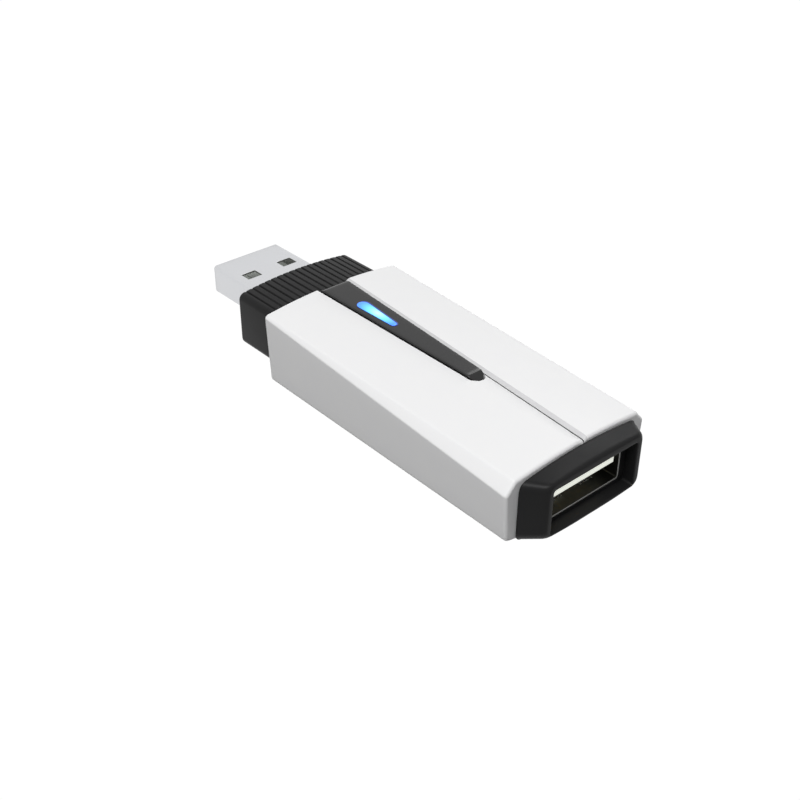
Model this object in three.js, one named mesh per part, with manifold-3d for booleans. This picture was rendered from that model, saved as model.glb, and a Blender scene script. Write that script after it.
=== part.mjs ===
// In-line USB wireless adapter: a plug at one end, a socket at the other, and a radio board between them.
// Millimetres. +X runs from the plug to the socket, +Z is up, and the origin is under the middle of the
// body, on the surface that it rests on. Inside the group "body" the origin is on the plug's axis, at the
// collar's front face, and every size below is stated there.

import * as THREE from "three";
import { mergeVertices } from "three/addons/utils/BufferGeometryUtils.js";
import Module from "manifold-3d";

const wasm = await Module();
wasm.setup();

// ---------------------------------------------------------------------------------------------------
// Driving dimensions
// ---------------------------------------------------------------------------------------------------

// Lengths along X
const plugReach = 12.4;
const collarLength = 9.1;
const shellLength = 47.4;
const bezelLength = 3.1;

// Side shells: the top falls towards the socket and its long edges are cut by a chamfer that grows
const collarStep = 1.82;
const rimSide = 2.4;
const rimTop = 0.6;
const sideDraft = 0.45;
const topHeight = 5.7;
const topCrown = 0.85;
const bottomDepth = 7.0;
const bottomRise = 1.15;
const footHalfWidth = 3.6;
const edgeRadius = 0.45;
const shellWall = 1.2;
const frontWall = 1.2;
const rearWall = 1.2;
const chamferWidth = 1.5;
const chamferHeight = 1.45;
const rimChamfer = 0.6;

// Seam between the side shells, on top: a valley that runs in a straight line to the socket end
const seamGap = 0.12;
const seamFront = 2.45;
const seamRear = 0.87;
const valleyDepth = 0.45;
const valleyRightWidth = 0.75;
const valleyLeftFront = -2.55;
const valleyLeftRear = -0.35;

// Collar
const collarHalfWidth = 10.08;
const collarTop = 4.6;
const collarCrown = 0.75;
const collarRadius = 1.0;
const collarWall = 1.1;
const collarBottomWall = 0.9;
const collarFloorGap = 0.29;
const collarFrontWall = 1.5;
const ribPitch = 1.1;
const ribGroove = 0.32;
const ribDepth = 0.2;
const ribCount = 17;
const flangeThickness = 1.0;

// Tongue inlaid between the shells
const tongueRoot = 7.6;
const tongueRampEnd = 10.6;
const tongueCrest = 38.3;
const tongueTip = 39.7;
const tongueProud = 0.3;
const tongueTipDrop = 0.75;
const tongueGap = 0.08;
const tonguePlay = 0.25;
const plateThickness = 1.0;
const plateHalfWidth = 8.0;
const plateSetback = 1.95;

// Light window: a drop shape with a light guide under it
const windowFront = 15.4;
const windowRear = 22.8;
const windowFrontWidth = 1.7;
const windowRearWidth = 0.8;
const windowThickness = 1.1;
const windowGap = 0.06;
const guideSize = 1.3;

// Plug
const plugWidth = 12.0;
const plugHeight = 4.5;
const plugWall = 0.3;
const plugInside = 5.0;
const plugRadius = 0.45;
const plugWindowFront = 5.2;
const plugWindowLength = 1.9;
const plugWindowInner = 2.03;
const plugWindowOuter = 4.5;
const plugBlockFront = -0.4;
const plugTongueSetback = 0.5;
const plugTongueTop = 0.0;
const plugLegX = 3.2;
const plugLegLength = 1.2;

// Contacts of the plug and of the socket
const contactPitches = [-3.5, -1.0, 1.0, 3.5];
const contactWidth = 1.0;
const contactThickness = 0.25;
const powerContactSetback = 1.2;
const dataContactSetback = 2.2;
const contactProud = 0.05;
const contactTail = 1.4;
const hingeSetback = 0.6;

// Socket
const socketInnerWidth = 12.5;
const socketInnerHeight = 5.12;
const socketWall = 0.3;
const socketLength = 14.0;
const socketDrop = 1.64;
const socketRecess = 1.6;
const socketRadius = 0.5;
const socketTongueWidth = 11.1;
const socketTongueThickness = 1.84;
const socketTongueSetback = 0.3;
const socketBlockLength = 4.0;
const slotWidth = 1.3;
const slotHeight = 1.35;
const bumpReach = 6.9;
const bumpStand = 0.4;
const fingerSetback = 2.0;
const fingerLength = 5.5;
const fingerWidth = 1.6;
const fingerSlot = 0.3;
const fingerSpacing = 5.6;

// End bezel
const mouthSide = 0.95;
const mouthAbove = 0.48;
const mouthBelow = 0.65;
const bezelEndSide = 1.0;
const bezelEndAbove = 0.45;
const bezelEndBelow = 0.65;
const bezelTaperSide = 1.5;
const bezelTaperTop = 0.65;
const bezelBaseCrown = 0.9;
const bezelEndCrown = 0.45;
const bezelEndRise = 0.6;
const bezelBottomInset = 0.5;
const bezelNeckInset = 0.8;
const bezelRadius = 1.3;
const skirtLength = 2.4;

// Circuit board and tray
const boardThickness = 0.8;
const boardHalfWidth = 9.2;
const boardNeckHalfWidth = 8.4;
const boardFront = 1.8;
const boardSetback = 0.8;
const pegRadius = 0.7;
const pegFront = 14.0;
const pegSetback = 3.45;
const pegSpread = 7.6;
const trayThickness = 0.9;
const trayFront = 12.2;
const traySetback = 1.55;
const trayWallTop = -4.0;
const trayRibLength = 1.2;

// Small parts on the board
const ledHeight = 0.65;
const ledLength = 1.6;
const ledWidth = 0.9;
const canWall = 0.2;
const canLength = 8.0;
const canWidth = 8.0;
const canHeight = 1.7;
const canX = 24.0;
const canY = -3.4;
const radioChipSize = 5.0;

// Clearances
const fit = 0.1;
const seat = 0.05;
const arcSteps = 6;

// ---------------------------------------------------------------------------------------------------
// Places worked out from the driving dimensions
// ---------------------------------------------------------------------------------------------------

const shellFront = collarLength;
const shellRear = shellFront + shellLength;
const bodyEnd = shellRear + bezelLength;
const plugTip = -plugReach;
const boardTop = -plugHeight / 2 - seat;
const boardBottom = boardTop - boardThickness;
const socketMouth = bodyEnd - socketRecess - seat;
const socketBack = socketMouth - socketLength;
const socketOuterWidth = socketInnerWidth + 2 * socketWall;
const socketOuterHeight = socketInnerHeight + 2 * socketWall;
const collarBottom = collarBottomWall + collarFloorGap - boardBottom;
const mouthHalfWidth = socketOuterWidth / 2 + mouthSide;
const mouthTop = -socketDrop + socketOuterHeight / 2 + mouthAbove;
const mouthBottom = socketDrop + socketOuterHeight / 2 + mouthBelow;
const bezelEndHalf = mouthHalfWidth + bezelEndSide;
const bezelEndTop = mouthTop + bezelEndAbove;
const bezelEndBottom = mouthBottom + bezelEndBelow;
const bezelBaseHalf = bezelEndHalf + bezelTaperSide;
const bezelBaseTop = bezelEndTop + bezelTaperTop;
const shellHalfFront = collarHalfWidth + collarStep;
const shellHalfRear = bezelBaseHalf + rimSide;
const topFall = topHeight - (bezelBaseTop + rimTop);
const plateEnd = socketBack - plateSetback;
const pegRear = socketBack - pegSetback;
const trayEnd = socketBack - traySetback;
const flangeFront = shellFront + frontWall + fit;
const collarNeckEnd = flangeFront + flangeThickness / 4;
const skirtEnd = shellRear - rearWall - fit;
const skirtFront = skirtEnd - skirtLength;
const neckFront = skirtEnd - skirtLength / 4;
const boardEnd = skirtFront - boardSetback;
const coverInset = shellWall + fit;
const reach = 200;

// ---------------------------------------------------------------------------------------------------
// Solids: three.js shapes made closed bodies, and joined or cut with manifold-3d
// ---------------------------------------------------------------------------------------------------

function solidFrom(geometry) {
  const plain = geometry.index ? geometry.toNonIndexed() : geometry.clone();
  plain.deleteAttribute("normal");
  plain.deleteAttribute("uv");
  const merged = mergeVertices(plain, 1e-4);
  return new wasm.Manifold(
    new wasm.Mesh({
      numProp: 3,
      vertProperties: merged.attributes.position.array,
      triVerts: new Uint32Array(merged.index.array),
    }),
  );
}

function geometryFrom(solid) {
  const mesh = solid.getMesh();
  const geometry = new THREE.BufferGeometry();
  const points = new THREE.BufferAttribute(new Float32Array(mesh.vertProperties), 3);
  geometry.setAttribute("position", points);
  geometry.setIndex(new THREE.BufferAttribute(new Uint32Array(mesh.triVerts), 1));
  const faceted = geometry.toNonIndexed();
  faceted.computeVertexNormals();
  return faceted;
}

// A box between two corners.
function box(x0, x1, y0, y1, z0, z1) {
  const geometry = new THREE.BoxGeometry(x1 - x0, y1 - y0, z1 - z0);
  geometry.translate((x0 + x1) / 2, (y0 + y1) / 2, (z0 + z1) / 2);
  return solidFrom(geometry);
}

// A round peg standing along Z.
function peg(x, y, radius, z0, z1) {
  const geometry = new THREE.CylinderGeometry(radius, radius, z1 - z0, 16);
  geometry.rotateX(Math.PI / 2);
  geometry.translate(x, y, (z0 + z1) / 2);
  return solidFrom(geometry);
}

// A body drawn from one outline in the YZ plane at x0 to a matching outline at x1.
function loft(x0, outline0, x1, outline1) {
  const near = outline0.getPoints(arcSteps);
  const far = outline1.getPoints(arcSteps);
  const geometry = new THREE.ExtrudeGeometry(new THREE.Shape(near), { depth: 1, bevelEnabled: false });
  const position = geometry.getAttribute("position");
  const corner = new THREE.Vector2();
  for (let i = 0; i < position.count; i++) {
    corner.set(position.getX(i), position.getY(i));
    const k = near.findIndex((p) => p.distanceTo(corner) < 1e-5);
    const atEnd = position.getZ(i) > 0.5;
    const p = atEnd ? far[k] : near[k];
    position.setXYZ(i, atEnd ? x1 : x0, p.x, p.y);
  }
  return solidFrom(geometry);
}

// An outline in the XY plane, drawn up from z0 to z1.
function upright(outline, z0, z1) {
  const geometry = new THREE.ExtrudeGeometry(outline, {
    depth: z1 - z0,
    bevelEnabled: false,
    curveSegments: 10,
  });
  geometry.translate(0, 0, z0);
  return solidFrom(geometry);
}

// An outline in the XZ plane, drawn across from y0 to y1.
function across(outline, y0, y1) {
  const geometry = new THREE.ExtrudeGeometry(outline, {
    depth: y1 - y0,
    bevelEnabled: false,
    curveSegments: 10,
  });
  geometry.rotateX(Math.PI / 2);
  geometry.translate(0, y1, 0);
  return solidFrom(geometry);
}

function polygon(...corners) {
  return new THREE.Shape(corners.map(([a, b]) => new THREE.Vector2(a, b)));
}

// A rectangle with rounded corners in the YZ plane, centred on y = 0.
function roundedRectangle(width, z0, z1, radius) {
  const half = width / 2;
  const shape = new THREE.Shape();
  shape.moveTo(-half + radius, z0);
  shape.lineTo(half - radius, z0);
  shape.absarc(half - radius, z0 + radius, radius, -Math.PI / 2, 0);
  shape.lineTo(half, z1 - radius);
  shape.absarc(half - radius, z1 - radius, radius, 0, Math.PI / 2);
  shape.lineTo(-half + radius, z1);
  shape.absarc(-half + radius, z1 - radius, radius, Math.PI / 2, Math.PI);
  shape.lineTo(-half, z0 + radius);
  shape.absarc(-half + radius, z0 + radius, radius, Math.PI, 1.5 * Math.PI);
  return shape;
}

// A section with an arched top and an arched bottom whose middle is flat, and softened corners.
function archedSection(halfTop, halfBottom, top, crown, bottom, rise, flatHalf, radius) {
  const shoulder = top - crown;
  const heel = bottom + rise;
  const shape = new THREE.Shape();
  shape.moveTo(-flatHalf, bottom);
  shape.lineTo(flatHalf, bottom);
  shape.quadraticCurveTo((flatHalf + halfBottom) / 2, bottom, halfBottom - radius, heel - radius * 0.1);
  shape.quadraticCurveTo(halfBottom, heel, halfBottom, heel + radius);
  shape.lineTo(halfTop, shoulder - radius);
  shape.quadraticCurveTo(halfTop, shoulder, halfTop - radius, shoulder + radius * 0.1);
  shape.quadraticCurveTo(0, top + crown, -halfTop + radius, shoulder + radius * 0.1);
  shape.quadraticCurveTo(-halfTop, shoulder, -halfTop, shoulder - radius);
  shape.lineTo(-halfBottom, heel + radius);
  shape.quadraticCurveTo(-halfBottom, heel, -halfBottom + radius, heel - radius * 0.1);
  shape.quadraticCurveTo(-(flatHalf + halfBottom) / 2, bottom, -flatHalf, bottom);
  return shape;
}

const between = (a, b, t) => a + (b - a) * t;
const alongShell = (x) => (x - shellFront) / shellLength;
const shellTopAt = (x) => topHeight - topFall * alongShell(x);
const seamAt = (x) => between(seamFront, seamRear, alongShell(x));
const valleyLeftAt = (x) => between(valleyLeftFront, valleyLeftRear, alongShell(x));

// ---------------------------------------------------------------------------------------------------
// Shared body form: the outside of the two side shells, or the same form drawn in by a wall
// ---------------------------------------------------------------------------------------------------

function bodySection(x, inset) {
  const half = between(shellHalfFront, shellHalfRear, alongShell(x)) - inset;
  return archedSection(
    half,
    half - sideDraft,
    shellTopAt(x) - inset,
    topCrown,
    -bottomDepth + inset,
    bottomRise,
    footHalfWidth,
    edgeRadius,
  );
}

// The long chamfer on one side (side is 1 or -1): nothing at the front, its full width at the rear.
function chamferCutter(side, inset) {
  const slope = new THREE.Vector2(chamferWidth, -chamferHeight).normalize();
  const out = new THREE.Vector2(-slope.y, slope.x);
  const section = (x) => {
    const t = alongShell(x);
    const edge = new THREE.Vector2(
      between(shellHalfFront, shellHalfRear - chamferWidth, t),
      shellTopAt(x) - topCrown,
    ).addScaledVector(out, -inset);
    const corners = [
      edge.clone().addScaledVector(slope, -6),
      edge.clone().addScaledVector(slope, 6),
      edge.clone().addScaledVector(slope, 6).addScaledVector(out, 6),
      edge.clone().addScaledVector(slope, -6).addScaledVector(out, 6),
    ];
    return polygon(...corners.map((p) => [side * p.x, p.y]));
  };
  return loft(shellFront - 2, section(shellFront - 2), shellRear + 2, section(shellRear + 2));
}

function bodyForm(inset, x0, x1) {
  return loft(x0, bodySection(x0, inset), x1, bodySection(x1, inset))
    .subtract(chamferCutter(1, inset))
    .subtract(chamferCutter(-1, inset));
}

// The bezel's outline where it meets the shells' rear wall, drawn in by an inset.
function bezelSection(inset) {
  return archedSection(
    bezelBaseHalf - inset,
    bezelBaseHalf - inset,
    bezelBaseTop - inset,
    bezelBaseCrown,
    -bottomDepth + bezelBottomInset + inset,
    bottomRise * 0.75,
    footHalfWidth,
    bezelRadius,
  );
}

// The neck that passes through the shells' rear wall, grown by a clearance.
const bezelNeck = (grow) => bezelSection(bezelNeckInset - grow);

function collarSection(grow) {
  return archedSection(
    collarHalfWidth + grow,
    collarHalfWidth + grow,
    collarTop + grow,
    collarCrown,
    -collarBottom - grow,
    0.01,
    collarHalfWidth + grow - 2 * collarRadius,
    collarRadius,
  );
}

// Tongue outline seen from above, grown by a clearance.
function tonguePlan(grow, root) {
  const left = (x) => valleyLeftAt(x) - grow;
  const right = (x) => seamAt(x) - tonguePlay + grow;
  const roundStart = tongueCrest;
  const radius = (right(roundStart) - left(roundStart)) / 2;
  const shape = new THREE.Shape();
  shape.moveTo(root, left(root));
  shape.lineTo(roundStart, left(roundStart));
  shape.absarc(roundStart, left(roundStart) + radius, radius, -Math.PI / 2, Math.PI / 2);
  shape.lineTo(root, right(root));
  return shape;
}

// ---------------------------------------------------------------------------------------------------
// Side shells: two white mouldings that meet along the seam on top and along the middle below
// ---------------------------------------------------------------------------------------------------

const valley = loft(
  shellFront - 1,
  valleySection(shellFront - 1),
  shellRear + 1,
  valleySection(shellRear + 1),
);

function valleySection(x) {
  const top = shellTopAt(x);
  const seam = seamAt(x);
  return polygon(
    [valleyLeftAt(x), top],
    [seam, top - valleyDepth],
    [seam + valleyRightWidth, top],
    [seam + valleyRightWidth, top + 3],
    [valleyLeftAt(x), top + 3],
  );
}

const shellTube = bodyForm(0, shellFront, shellRear - rimChamfer)
  .add(
    loft(
      shellRear - rimChamfer,
      bodySection(shellRear - rimChamfer, 0),
      shellRear,
      bodySection(shellRear, rimChamfer),
    )
      .subtract(chamferCutter(1, 0))
      .subtract(chamferCutter(-1, 0)),
  )
  .subtract(bodyForm(shellWall, shellFront + frontWall, shellRear - rearWall))
  .subtract(loft(neckFront - fit, bezelNeck(fit), shellRear + 1, bezelNeck(fit)))
  .subtract(loft(shellFront - 1, collarSection(fit), collarNeckEnd + fit, collarSection(fit)))
  .subtract(upright(tonguePlan(tongueGap, tongueRoot), 0, topHeight + 2))
  .subtract(valley);

// Everything on the right of the seam, moved by an offset across it.
function rightOfSeam(offset) {
  const x0 = shellFront - 5;
  const x1 = shellRear + 5;
  const above = polygon(
    [x0, seamAt(x0) + offset],
    [x1, seamAt(x1) + offset],
    [x1, reach],
    [x0, reach],
  );
  return upright(above, 0, reach).add(box(x0, x1, offset, reach, -reach, 0));
}

const rightSideShell = shellTube.intersect(rightOfSeam(seamGap / 2));
const leftSideShell = shellTube.subtract(rightOfSeam(-seamGap / 2));

// ---------------------------------------------------------------------------------------------------
// Front collar: a black sleeve with a ribbed top, a flange behind the shells' front wall, and a plate
// under their top that carries the tongue
// ---------------------------------------------------------------------------------------------------

function tongueProfile() {
  const low = shellTopAt(tongueTip) - 2;
  const shape = new THREE.Shape();
  shape.moveTo(tongueRoot, collarTop - 0.3);
  shape.lineTo(tongueRoot, collarTop - 0.02);
  shape.bezierCurveTo(
    tongueRoot + 1.2,
    collarTop,
    tongueRoot + 1.4,
    shellTopAt(tongueRampEnd) + tongueProud,
    tongueRampEnd,
    shellTopAt(tongueRampEnd) + tongueProud,
  );
  shape.lineTo(tongueCrest, shellTopAt(tongueCrest) + tongueProud);
  shape.lineTo(tongueTip, shellTopAt(tongueTip) + tongueProud - tongueTipDrop);
  shape.lineTo(tongueTip, low);
  return shape;
}

function ribGrooves() {
  const first = (-(ribCount - 1) / 2) * ribPitch;
  let grooves;
  for (let i = 0; i < ribCount; i++) {
    const y = first + i * ribPitch;
    const underTongue = y > valleyLeftFront - ribGroove && y < seamFront + ribGroove;
    const end = underTongue ? tongueRoot - 0.3 : shellFront - 0.4;
    const surface = collarTop - collarCrown * (y / collarHalfWidth) ** 2;
    const groove = box(-1, end, y - ribGroove / 2, y + ribGroove / 2, surface - ribDepth, collarTop + 1);
    grooves = grooves ? grooves.add(groove) : groove;
  }
  return grooves;
}

const collarInner = collarHalfWidth - collarWall;
const sleeveEnd = flangeFront + flangeThickness;

const sleeve = loft(0, collarSection(0), collarNeckEnd, collarSection(0))
  .add(bodyForm(coverInset, flangeFront, sleeveEnd))
  .subtract(
    loft(
      collarFrontWall,
      roundedRectangle(2 * collarInner, -collarBottom + collarBottomWall, collarTop - 1.5, 0.4),
      sleeveEnd + 1,
      roundedRectangle(2 * collarInner, -collarBottom + collarBottomWall, collarTop - 1.5, 0.4),
    ),
  )
  .subtract(
    loft(
      -1,
      roundedRectangle(plugWidth + 2 * fit, -plugHeight / 2 - fit, plugHeight / 2 + fit, plugRadius),
      collarFrontWall + 1,
      roundedRectangle(plugWidth + 2 * fit, -plugHeight / 2 - fit, plugHeight / 2 + fit, plugRadius),
    ),
  )
  .subtract(ribGrooves());

const coverPlate = bodyForm(coverInset, flangeFront, plateEnd)
  .subtract(bodyForm(coverInset + plateThickness, flangeFront - 1, plateEnd + 1))
  .intersect(box(flangeFront, plateEnd, -plateHalfWidth, plateHalfWidth, 0, reach));

const tongue = across(tongueProfile(), -5, 5).intersect(upright(tonguePlan(0, tongueRoot), 0, reach));

// Drop-shaped outline of the light window, seen from above.
function windowPlan(grow) {
  const r0 = windowFrontWidth / 2;
  const r1 = windowRearWidth / 2;
  const x0 = windowFront + r0;
  const x1 = windowRear - r1;
  const tilt = Math.asin((r0 - r1) / (x1 - x0));
  const y0 = (valleyLeftAt(x0) + seamAt(x0) - tonguePlay) / 2;
  const y1 = (valleyLeftAt(x1) + seamAt(x1) - tonguePlay) / 2;
  const shape = new THREE.Shape();
  shape.absarc(x0, y0, r0 + grow, Math.PI / 2 - tilt, 1.5 * Math.PI + tilt);
  shape.absarc(x1, y1, r1 + grow, -Math.PI / 2 + tilt, Math.PI / 2 - tilt);
  return shape;
}

const guideX = between(windowFront, windowRear, 0.4);
const guideY = (valleyLeftAt(guideX) + seamAt(guideX) - tonguePlay) / 2;

// A slab of the tongue's thickness from the tongue's surface down, sloped as the tongue is.
function underTongueSurface(depth) {
  const x0 = windowFront - 2;
  const x1 = windowRear + 2;
  return polygon(
    [x0, shellTopAt(x0) + tongueProud - depth],
    [x1, shellTopAt(x1) + tongueProud - depth],
    [x1, shellTopAt(x1) + tongueProud - depth - windowThickness],
    [x0, shellTopAt(x0) + tongueProud - depth - windowThickness],
  );
}

const windowPocket = upright(windowPlan(windowGap), 0, reach).intersect(
  across(
    polygon(
      [windowFront - 2, shellTopAt(windowFront - 2) + tongueProud - windowThickness - windowGap],
      [windowRear + 2, shellTopAt(windowRear + 2) + tongueProud - windowThickness - windowGap],
      [windowRear + 2, reach],
      [windowFront - 2, reach],
    ),
    -5,
    5,
  ),
);

const guideHole = box(
  guideX - guideSize / 2 - windowGap,
  guideX + guideSize / 2 + windowGap,
  guideY - guideSize / 2 - windowGap,
  guideY + guideSize / 2 + windowGap,
  0,
  topHeight,
);

const frontCollar = sleeve.add(coverPlate).add(tongue).subtract(windowPocket).subtract(guideHole);

// ---------------------------------------------------------------------------------------------------
// Light window and the light under it
// ---------------------------------------------------------------------------------------------------

const lightWindow = upright(windowPlan(0), 0, reach)
  .intersect(across(underTongueSurface(0.02), -5, 5))
  .add(
    box(
      guideX - guideSize / 2,
      guideX + guideSize / 2,
      guideY - guideSize / 2,
      guideY + guideSize / 2,
      boardTop + ledHeight + 2 * fit,
      shellTopAt(guideX) + tongueProud - windowThickness / 2,
    ),
  );

// ---------------------------------------------------------------------------------------------------
// Plug: a folded steel shell, a moulded tongue and four flat contacts
// ---------------------------------------------------------------------------------------------------

const plugInnerWidth = plugWidth - 2 * plugWall;
const plugInnerHeight = plugHeight - 2 * plugWall;
const plugInnerRadius = plugRadius - plugWall / 2;

function tube(x0, x1, width, height, wall, radius, middle) {
  const outer = roundedRectangle(width, middle - height / 2, middle + height / 2, radius);
  const inner = roundedRectangle(
    width - 2 * wall,
    middle - height / 2 + wall,
    middle + height / 2 - wall,
    radius - wall / 2,
  );
  return loft(x0, outer, x1, outer).subtract(loft(x0 - 1, inner, x1 + 1, inner));
}

// The same cut or part on both sides, side being -1 and 1.
function bothSides(make) {
  return make(-1).add(make(1));
}

function sideBox(side, x0, x1, y0, y1, z0, z1) {
  return side > 0 ? box(x0, x1, y0, y1, z0, z1) : box(x0, x1, -y1, -y0, z0, z1);
}

const plugWindows = bothSides((side) =>
  sideBox(
    side,
    plugTip + plugWindowFront,
    plugTip + plugWindowFront + plugWindowLength,
    plugWindowInner,
    plugWindowOuter,
    -plugHeight,
    plugHeight,
  ),
);

const plugLegs = bothSides((side) =>
  sideBox(
    side,
    plugLegX,
    plugLegX + plugLegLength,
    plugWidth / 2 - plugWall,
    plugWidth / 2,
    boardBottom - seat,
    -plugHeight / 2 + plugRadius + 0.1,
  ),
);

const plugShell = tube(plugTip, plugInside, plugWidth, plugHeight, plugWall, plugRadius, 0)
  .subtract(plugWindows)
  .add(plugLegs);

const plugContactFloor = plugTongueTop + contactProud - contactThickness;
const plugContactBend = plugInside + contactTail;

const plugChannels = contactPitches
  .map((y) =>
    box(
      plugTip + powerContactSetback - 0.3,
      plugInside + 2,
      y - contactWidth / 2 - fit,
      y + contactWidth / 2 + fit,
      plugContactFloor - seat,
      plugTongueTop + contactProud + seat,
    ),
  )
  .reduce((all, channel) => all.add(channel));

const plugInsulator = box(
  plugTip + plugTongueSetback,
  plugInside,
  -plugInnerWidth / 2 + plugInnerRadius,
  plugInnerWidth / 2 - plugInnerRadius,
  -plugInnerHeight / 2 + seat,
  plugTongueTop,
)
  .add(
    box(
      plugBlockFront,
      plugInside,
      -plugInnerWidth / 2 + plugInnerRadius,
      plugInnerWidth / 2 - plugInnerRadius,
      -plugInnerHeight / 2 + seat,
      plugInnerHeight / 2 - seat,
    ),
  )
  .subtract(plugChannels);

// A flat contact that lies in its channel and turns down to the board behind the block.
function plugContact(setback) {
  const floor = plugContactFloor;
  const outline = polygon(
    [plugTip + setback, floor],
    [plugContactBend - contactThickness, floor],
    [plugContactBend - contactThickness, boardTop + seat],
    [plugContactBend, boardTop + seat],
    [plugContactBend, floor + contactThickness],
    [plugTip + setback, floor + contactThickness],
  );
  return across(outline, -contactWidth / 2, contactWidth / 2);
}

// ---------------------------------------------------------------------------------------------------
// Socket: a folded steel shell sunk in the board, a moulded block with its tongue, and four contacts.
// Its own origin is on its axis, at its mouth.
// ---------------------------------------------------------------------------------------------------

const blockFront = -socketLength + socketBlockLength;
const hingeX = blockFront + hingeSetback;
const hingeZ = slotHeight * 0.62;
const armTipReach = bumpReach + 1.2;

const fingerSlots = bothSides((side) => {
  const cutOne = (z0, z1) => {
    const x0 = -fingerSetback - fingerLength;
    const x1 = -fingerSetback;
    const middle = fingerSpacing / 2;
    const half = fingerWidth / 2;
    const frame = sideBox(side, x0, x1, middle - half - fingerSlot, middle + half + fingerSlot, z0, z1);
    const keep = sideBox(side, x0 - 1, x1 - fingerSlot, middle - half, middle + half, z0 - 1, z1 + 1);
    return frame.subtract(keep);
  };
  return cutOne(socketInnerHeight / 2 - 0.2, socketOuterHeight).add(
    cutOne(-socketOuterHeight, -socketInnerHeight / 2 + 0.2),
  );
});

const socketWingZ = boardTop + socketDrop + seat;
const socketWings = bothSides((side) =>
  sideBox(
    side,
    blockFront - 2.4,
    blockFront + 0.6,
    socketInnerWidth / 2 + socketWall / 2,
    socketOuterWidth / 2 + 1.5,
    socketWingZ,
    socketWingZ + socketWall,
  ),
);

const socketShell = tube(
  -socketLength,
  0,
  socketOuterWidth,
  socketOuterHeight,
  socketWall,
  socketRadius,
  0,
)
  .subtract(fingerSlots)
  .add(socketWings);

const socketSlots = contactPitches
  .map((y) =>
    box(
      -socketLength - 1,
      -socketTongueSetback - 0.8,
      y - slotWidth / 2,
      y + slotWidth / 2,
      -0.02,
      slotHeight,
    ),
  )
  .reduce((all, slot) => all.add(slot));

const socketInsulator = box(
  -socketLength + seat,
  blockFront,
  -socketInnerWidth / 2 + socketRadius,
  socketInnerWidth / 2 - socketRadius,
  -socketInnerHeight / 2 + fit,
  socketInnerHeight / 2 - fit,
)
  .add(
    box(
      blockFront - 0.5,
      -socketTongueSetback,
      -socketTongueWidth / 2,
      socketTongueWidth / 2,
      0,
      socketTongueThickness,
    ),
  )
  .subtract(socketSlots);

// Spring arm, drawn about its own bend line: down to the bump that meets a plug, then up at its tip.
function springArm() {
  const drop = hingeZ + bumpStand;
  const half = contactThickness / 2;
  const outline = polygon(
    [-half, half],
    [-half, -half],
    [half, -half],
    [bumpReach - 0.45, -drop + half],
    [bumpReach, -drop],
    [bumpReach + 0.45, -drop + half],
    [armTipReach, -drop + 0.75],
    [armTipReach, -drop + 0.75 + contactThickness],
    [bumpReach + 0.3, -drop + half + contactThickness + 0.08],
    [bumpReach - 0.3, -drop + half + contactThickness + 0.08],
    [half, half],
  );
  return across(outline, -contactWidth / 2, contactWidth / 2);
}

// Solder pin: the fixed rear of the same strip, from inside the block down to the board.
function solderPin() {
  const half = contactThickness / 2;
  const foot = -socketLength - 1.1;
  const front = hingeX - 0.5;
  const boardLevel = boardTop + socketDrop + seat;
  const outline = polygon(
    [foot, boardLevel],
    [foot + contactThickness, boardLevel],
    [foot + contactThickness, hingeZ - half],
    [front, hingeZ - half],
    [front, hingeZ + half],
    [foot, hingeZ + half],
  );
  return across(outline, -contactWidth / 2 + fit, contactWidth / 2 - fit);
}

// ---------------------------------------------------------------------------------------------------
// End bezel: a black frame around the socket's mouth, with a skirt inside the shells
// ---------------------------------------------------------------------------------------------------

const bezelBase = bezelSection(0);
const bezelEnd = archedSection(
  bezelEndHalf,
  bezelEndHalf,
  bezelEndTop,
  bezelEndCrown,
  -bezelEndBottom,
  bezelEndRise,
  footHalfWidth * 0.6,
  bezelRadius,
);
const socketPassage = roundedRectangle(
  socketOuterWidth + 2 * fit,
  -socketDrop - socketOuterHeight / 2 - fit,
  -socketDrop + socketOuterHeight / 2 + fit,
  socketRadius,
);

const mouthRecess = box(
  bodyEnd - socketRecess,
  bodyEnd + 1,
  -mouthHalfWidth,
  mouthHalfWidth,
  -mouthBottom,
  mouthTop,
);

const endBezel = loft(shellRear + seat, bezelBase, bodyEnd, bezelEnd)
  .add(loft(neckFront, bezelNeck(0), shellRear + 0.5, bezelNeck(0)))
  .add(bodyForm(coverInset, skirtFront, skirtEnd))
  .subtract(mouthRecess)
  .subtract(loft(skirtFront - 1, socketPassage, bodyEnd + 1, socketPassage));

// ---------------------------------------------------------------------------------------------------
// Circuit board and the tray that carries it
// ---------------------------------------------------------------------------------------------------

const notchHalf = socketOuterWidth / 2 + 0.25;
const notchFront = socketBack - 0.25;
const neckEnd = sleeveEnd + 0.6;

const boardOutline = polygon(
  [boardFront, -boardNeckHalfWidth],
  [neckEnd, -boardNeckHalfWidth],
  [neckEnd, -boardHalfWidth],
  [boardEnd, -boardHalfWidth],
  [boardEnd, -notchHalf],
  [notchFront, -notchHalf],
  [notchFront, notchHalf],
  [boardEnd, notchHalf],
  [boardEnd, boardHalfWidth],
  [neckEnd, boardHalfWidth],
  [neckEnd, boardNeckHalfWidth],
  [boardFront, boardNeckHalfWidth],
);

const pegPlaces = [pegFront, pegRear].flatMap((x) => [-1, 1].map((side) => [x, side * pegSpread]));
const pegsOf = (radius, z0, z1) =>
  pegPlaces.map(([x, y]) => peg(x, y, radius, z0, z1)).reduce((all, one) => all.add(one));

const plugLegSlots = bothSides((side) =>
  sideBox(
    side,
    plugLegX - fit,
    plugLegX + plugLegLength + fit,
    plugWidth / 2 - plugWall - fit,
    plugWidth / 2 + fit,
    boardBottom - 1,
    boardTop + 1,
  ),
);

const circuitBoard = upright(boardOutline, boardBottom, boardTop)
  .subtract(pegsOf(pegRadius + fit, boardBottom - 1, boardTop + 1))
  .subtract(plugLegSlots);

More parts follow.
